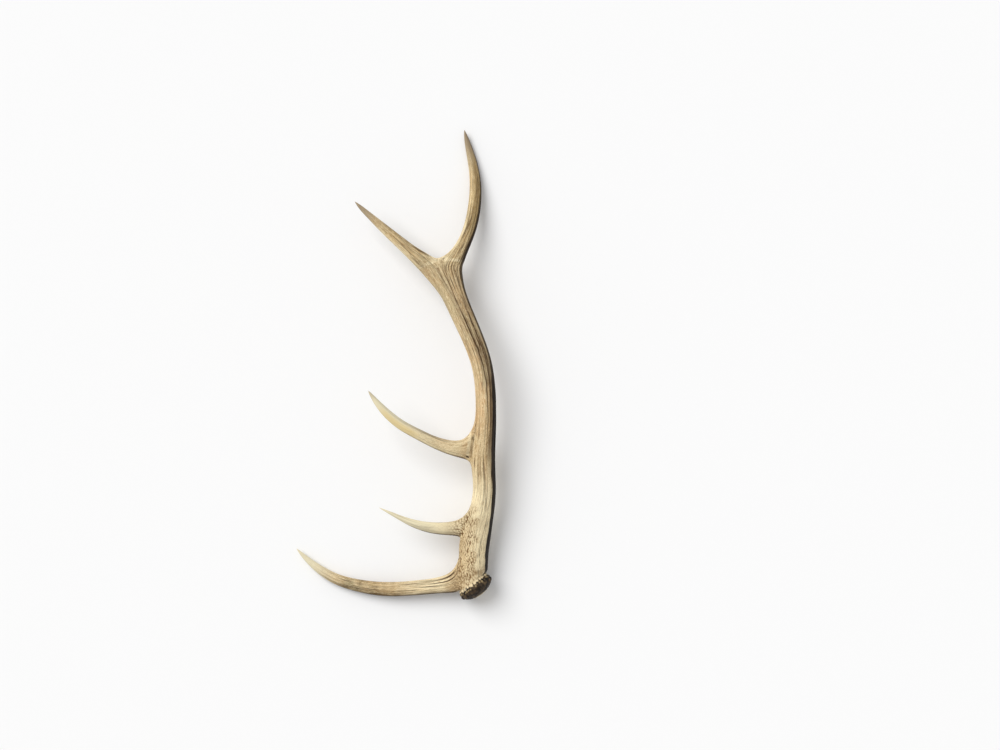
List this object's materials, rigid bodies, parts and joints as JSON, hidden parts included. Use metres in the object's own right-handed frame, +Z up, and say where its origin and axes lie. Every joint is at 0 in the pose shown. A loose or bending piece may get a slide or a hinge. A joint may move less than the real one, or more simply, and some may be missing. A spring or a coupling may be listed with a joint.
{
  "type": "deer antler",
  "caption": "Shed deer antler: a curved grooved beam with a pearled burr at its foot, three side tines and a forked crown, lying on its inner side.",
  "frame": {"origin": "on the surface the antler lies on, under the middle of its bounding box", "axes": "+Z up; +Y along the beam from the burr to the crown; +X from the tips of the side tines towards the beam"},
  "size_m": [0.3412, 0.8008, 0.0898],
  "materials": {
    "antler_bone": null
  },
  "bodies": {
    "root": {"beam": "antler_bone", "brow_tine": "antler_bone", "bez_tine": "antler_bone", "trez_tine": "antler_bone", "crown_front_tine": "antler_bone", "crown_rear_tine": "antler_bone"}
  },
  "joints": []
}
